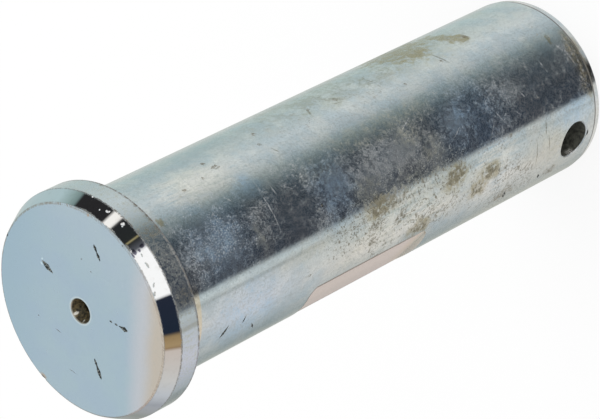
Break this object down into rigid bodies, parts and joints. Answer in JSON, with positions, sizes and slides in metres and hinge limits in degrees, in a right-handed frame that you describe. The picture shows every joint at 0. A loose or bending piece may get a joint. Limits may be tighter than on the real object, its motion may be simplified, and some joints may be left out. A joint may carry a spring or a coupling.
{
  "type": "pivot pin",
  "caption": "Headed steel pivot pin for hinged linkages: chamfered head, long plain shank, cross hole near the tail and a shallow milled flat.",
  "frame": {"origin": "centre of the tail's end face, on the floor the pin stands on", "axes": "+Z along the pin's axis from the tail to the head, +X along the cross hole, towards its mouth nearer the milled flat"},
  "size_m": [0.06, 0.06, 0.173],
  "materials": {
    "zinc_steel": "bright zinc plate over turned steel, with stains and fine scratches"
  },
  "bodies": {
    "root": {"pivot_pin": "zinc_steel"}
  },
  "joints": []
}
